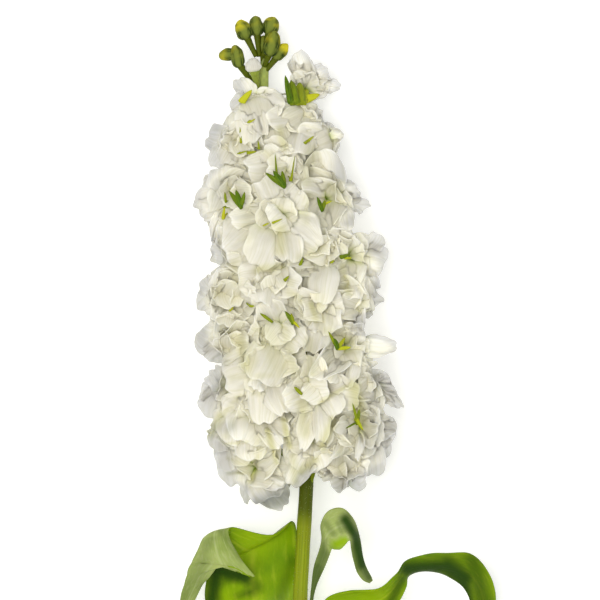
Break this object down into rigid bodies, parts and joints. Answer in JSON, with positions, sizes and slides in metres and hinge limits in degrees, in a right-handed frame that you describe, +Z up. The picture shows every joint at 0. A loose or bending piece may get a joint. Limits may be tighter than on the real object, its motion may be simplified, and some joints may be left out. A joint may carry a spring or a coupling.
{
  "type": "cut stock flower stem",
  "caption": "Cut stem of white double stock lying on its side: a dense spike of ruffled blooms with closed buds at its tip and wavy strap leaves below.",
  "frame": {"origin": "under the middle of the whole plant, on the surface that it lies on", "axes": "+Y along the stem from its cut end to the tip of the flower head, +Z up from the surface, +X to the right as seen from above with the tip away"},
  "size_m": [0.1474, 0.3662, 0.0588],
  "materials": {
    "petal": "matte",
    "stem": "satin",
    "leaf": "satin",
    "bud": "matte"
  },
  "bodies": {
    "root": {"stem": "stem", "bud_cluster": "bud", "leaf_left": "leaf", "leaf_middle": "leaf", "leaf_right": "leaf", "leaf_low_1": "leaf", "leaf_low_2": "leaf", "leaf_low_3": "leaf", "leaf_low_4": "leaf", "leaf_low_5": "leaf", "leaf_low_6": "leaf", "bloom_01": "petal", "bloom_02": "petal", "bloom_03": "petal", "bloom_04": "petal", "bloom_05": "petal", "bloom_06": "petal", "bloom_07": "petal", "bloom_08": "petal", "bloom_09": "petal", "bloom_10": "petal", "bloom_11": "petal", "bloom_12": "petal", "bloom_13": "petal", "bloom_14": "petal", "bloom_15": "petal", "bloom_16": "petal", "bloom_17": "petal", "bloom_18": "petal", "bloom_19": "petal", "bloom_20": "petal", "bloom_21": "petal", "bloom_22": "petal", "bloom_23": "petal", "bloom_24": "petal", "bloom_25": "petal", "bloom_26": "petal", "bloom_27": "petal", "bloom_28": "petal", "bloom_29": "petal", "bloom_30": "petal", "bloom_31": "petal", "bloom_32": "petal", "bloom_33": "petal", "bloom_34": "petal", "bloom_35": "petal", "bloom_36": "petal", "bloom_37": "petal", "bloom_38": "petal", "bloom_39": "petal", "bloom_40": "petal"}
  },
  "joints": []
}
